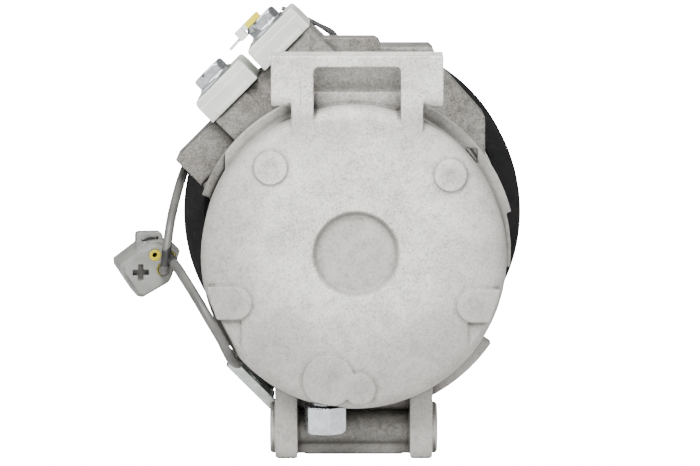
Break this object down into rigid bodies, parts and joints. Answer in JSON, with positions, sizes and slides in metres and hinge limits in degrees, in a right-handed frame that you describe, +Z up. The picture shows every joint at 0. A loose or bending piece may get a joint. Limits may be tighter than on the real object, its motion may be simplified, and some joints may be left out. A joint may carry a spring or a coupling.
{
  "type": "automotive air conditioning compressor",
  "caption": "Swash-plate refrigerant compressor with a belt pulley, an electromagnetic clutch, double-headed pistons, capped hose ports, side mounting lugs and a loose cable connector.",
  "frame": {"origin": "on the shaft axis, in the middle plane of the drive belt", "axes": "+Y along the shaft towards the clutch, +Z up towards the upper mounting lugs, +X to the right when the plain rear face is looked at"},
  "size_m": [0.1716, 0.2077, 0.1775],
  "materials": {
    "cast_light": "bead-blasted die casting, light warm grey",
    "cast_raw": "raw die casting, grey-brown",
    "steel": "ground steel",
    "dark_steel": "hardened dark steel",
    "zinc": "bright zinc plating",
    "plated_sheet": "zinc-plated sheet",
    "black_paint": "semi-matt black coating",
    "bronze": "sintered bronze",
    "piston_coat": "turned aluminium",
    "gasket": "rubber-coated sheet",
    "rubber": "black rubber",
    "cap_plastic": "translucent white plastic",
    "connector_grey": "grey plastic",
    "seal_yellow": "yellow silicone",
    "tie_yellow": "yellow plastic with a white tail",
    "cable_grey": "grey cable jacket",
    "winding": "potted copper winding"
  },
  "bodies": {
    "casing": {"rear_housing": "cast_light", "rear_valve_plate": "steel", "front_valve_plate": "steel", "suction_reeds": "dark_steel", "discharge_reeds": "dark_steel", "head_gaskets": "gasket", "rear_cylinder_block": "cast_raw", "front_cylinder_block": "cast_raw", "seal_rings": "rubber", "front_housing": "cast_light", "through_bolts": "zinc", "dowel_pins": "steel", "port_manifold": "cast_raw", "manifold_bolts": "zinc", "suction_port_cap": "cap_plastic", "discharge_port_cap": "cap_plastic", "flange_bolts": "zinc", "relief_valve_body": "zinc", "relief_valve_spring": "steel", "shaft_seal": "rubber", "needle_bearing_shells": "steel", "block_thrust_races": "steel", "bearing_inner_race": "steel", "circlips": "dark_steel", "coil_housing": "dark_steel", "coil_winding": "winding", "coil_lead": "cable_grey", "connector_housing": "connector_grey", "connector_seals": "seal_yellow", "lead_bracket": "plated_sheet", "marker_tie": "tie_yellow"},
    "shaft": {"drive_shaft": "steel", "swash_plate": "dark_steel", "hub_thrust_races": "steel", "clutch_hub": "dark_steel", "clutch_springs": "steel", "hub_bolt": "zinc"},
    "swash_facing_pair": {"swash_facings": "bronze"},
    "armature": {"armature_plate": "dark_steel"},
    "pulley_assembly": {"pulley": "black_paint", "bearing_outer_race": "steel"},
    "pulley_ball_set": {"bearing_balls": "steel"},
    "thrust_roller_set": {"thrust_rollers": "steel"},
    "needle_roller_set": {"needle_rollers": "steel"},
    "relief_plunger": {"relief_valve_plunger": "bronze"},
    "front_shoe_body_1": {"front_shoe_1": "bronze"},
    "rear_shoe_body_1": {"rear_shoe_1": "bronze"},
    "piston_body_1": {"piston_1": "piston_coat"},
    "front_shoe_body_2": {"front_shoe_2": "bronze"},
    "rear_shoe_body_2": {"rear_shoe_2": "bronze"},
    "piston_body_2": {"piston_2": "piston_coat"},
    "front_shoe_body_3": {"front_shoe_3": "bronze"},
    "rear_shoe_body_3": {"rear_shoe_3": "bronze"},
    "piston_body_3": {"piston_3": "piston_coat"},
    "front_shoe_body_4": {"front_shoe_4": "bronze"},
    "rear_shoe_body_4": {"rear_shoe_4": "bronze"},
    "piston_body_4": {"piston_4": "piston_coat"},
    "front_shoe_body_5": {"front_shoe_5": "bronze"},
    "rear_shoe_body_5": {"rear_shoe_5": "bronze"},
    "piston_body_5": {"piston_5": "piston_coat"}
  },
  "joints": [
    {"name": "shaft_spin", "type": "hinge", "parent": "casing", "child": "shaft", "pos_m": [0, -0.102, 0], "axis": [0, 1, 0], "continuous": true},
    {"name": "facing_spin", "type": "hinge", "parent": "shaft", "child": "swash_facing_pair", "pos_m": [0, -0.102, 0], "axis": [0, 0.9527, 0.3038], "continuous": true},
    {"name": "front_shoe_1_travel", "type": "hinge", "parent": "swash_facing_pair", "child": "front_shoe_body_1", "pos_m": [0, -0.11274, 0.03368], "axis": [0, 0.9527, 0.3038], "continuous": true},
    {"name": "rear_shoe_1_travel", "type": "hinge", "parent": "front_shoe_body_1", "child": "rear_shoe_body_1", "pos_m": [0, -0.113, 0.0345], "axis": [0, 0.9527, 0.3038], "continuous": true},
    {"name": "piston_1_travel", "type": "hinge", "parent": "rear_shoe_body_1", "child": "piston_body_1", "pos_m": [0, -0.113, 0.0345], "axis": [0, 1, 0], "continuous": true},
    {"name": "front_shoe_2_travel", "type": "hinge", "parent": "swash_facing_pair", "child": "front_shoe_body_2", "pos_m": [0.03363, -0.10532, 0.01041], "axis": [0, 0.9527, 0.3038], "continuous": true},
    {"name": "rear_shoe_2_travel", "type": "hinge", "parent": "front_shoe_body_2", "child": "rear_shoe_body_2", "pos_m": [0.03281, -0.1054, 0.01066], "axis": [0, 0.9527, 0.3038], "continuous": true},
    {"name": "piston_2_travel", "type": "hinge", "parent": "rear_shoe_body_2", "child": "piston_body_2", "pos_m": [0.03281, -0.1054, 0.01066], "axis": [0, 1, 0], "continuous": true},
    {"name": "front_shoe_3_travel", "type": "hinge", "parent": "swash_facing_pair", "child": "front_shoe_body_3", "pos_m": [0.02078, -0.09331, -0.02725], "axis": [0, 0.9527, 0.3038], "continuous": true},
    {"name": "rear_shoe_3_travel", "type": "hinge", "parent": "front_shoe_body_3", "child": "rear_shoe_body_3", "pos_m": [0.02028, -0.0931, -0.02791], "axis": [0, 0.9527, 0.3038], "continuous": true},
    {"name": "piston_3_travel", "type": "hinge", "parent": "rear_shoe_body_3", "child": "piston_body_3", "pos_m": [0.02028, -0.0931, -0.02791], "axis": [0, 1, 0], "continuous": true},
    {"name": "front_shoe_4_travel", "type": "hinge", "parent": "swash_facing_pair", "child": "front_shoe_body_4", "pos_m": [-0.02078, -0.09331, -0.02725], "axis": [0, 0.9527, 0.3038], "continuous": true},
    {"name": "rear_shoe_4_travel", "type": "hinge", "parent": "front_shoe_body_4", "child": "rear_shoe_body_4", "pos_m": [-0.02028, -0.0931, -0.02791], "axis": [0, 0.9527, 0.3038], "continuous": true},
    {"name": "piston_4_travel", "type": "hinge", "parent": "rear_shoe_body_4", "child": "piston_body_4", "pos_m": [-0.02028, -0.0931, -0.02791], "axis": [0, 1, 0], "continuous": true},
    {"name": "front_shoe_5_travel", "type": "hinge", "parent": "swash_facing_pair", "child": "front_shoe_body_5", "pos_m": [-0.03363, -0.10532, 0.01041], "axis": [0, 0.9527, 0.3038], "continuous": true},
    {"name": "rear_shoe_5_travel", "type": "hinge", "parent": "front_shoe_body_5", "child": "rear_shoe_body_5", "pos_m": [-0.03281, -0.1054, 0.01066], "axis": [0, 0.9527, 0.3038], "continuous": true},
    {"name": "piston_5_travel", "type": "hinge", "parent": "rear_shoe_body_5", "child": "piston_body_5", "pos_m": [-0.03281, -0.1054, 0.01066], "axis": [0, 1, 0], "continuous": true},
    {"name": "needle_cage_spin", "type": "hinge", "parent": "casing", "child": "needle_roller_set", "pos_m": [0, -0.074, 0], "axis": [0, 1, 0], "continuous": true},
    {"name": "thrust_cage_spin", "type": "hinge", "parent": "casing", "child": "thrust_roller_set", "pos_m": [0, -0.087, 0], "axis": [0, 1, 0], "continuous": true},
    {"name": "clutch_engage", "type": "slide", "parent": "shaft", "child": "armature", "axis": [0, -1, 0], "range_m": [0, 0.00045]},
    {"name": "pulley_spin", "type": "hinge", "parent": "casing", "child": "pulley_assembly", "pos_m": [0, 0, 0], "axis": [0, 1, 0], "continuous": true},
    {"name": "ball_set_spin", "type": "hinge", "parent": "casing", "child": "pulley_ball_set", "pos_m": [0, 0.001, 0], "axis": [0, 1, 0], "continuous": true},
    {"name": "relief_valve_lift", "type": "slide", "parent": "casing", "child": "relief_plunger", "axis": [0, 0, -1], "range_m": [0, 0.0012], "deforming": ["relief_valve_spring"]}
  ],
  "couplings": [
    {"joint": "facing_spin", "follows": "shaft_spin", "ratio": -1},
    {"joint": "front_shoe_1_travel", "follows": "shaft_spin", "ratio": 2},
    {"joint": "rear_shoe_1_travel", "follows": "shaft_spin", "ratio": -1},
    {"joint": "piston_1_travel", "follows": "shaft_spin", "ratio": -1},
    {"joint": "front_shoe_2_travel", "follows": "shaft_spin", "ratio": 2},
    {"joint": "rear_shoe_2_travel", "follows": "shaft_spin", "ratio": -1},
    {"joint": "piston_2_travel", "follows": "shaft_spin", "ratio": -1},
    {"joint": "front_shoe_3_travel", "follows": "shaft_spin", "ratio": 2},
    {"joint": "rear_shoe_3_travel", "follows": "shaft_spin", "ratio": -1},
    {"joint": "piston_3_travel", "follows": "shaft_spin", "ratio": -1},
    {"joint": "front_shoe_4_travel", "follows": "shaft_spin", "ratio": 2},
    {"joint": "rear_shoe_4_travel", "follows": "shaft_spin", "ratio": -1},
    {"joint": "piston_4_travel", "follows": "shaft_spin", "ratio": -1},
    {"joint": "front_shoe_5_travel", "follows": "shaft_spin", "ratio": 2},
    {"joint": "rear_shoe_5_travel", "follows": "shaft_spin", "ratio": -1},
    {"joint": "piston_5_travel", "follows": "shaft_spin", "ratio": -1},
    {"joint": "needle_cage_spin", "follows": "shaft_spin", "ratio": 0.4364},
    {"joint": "thrust_cage_spin", "follows": "shaft_spin", "ratio": 0.5},
    {"joint": "ball_set_spin", "follows": "pulley_spin", "ratio": 0.5567}
  ]
}
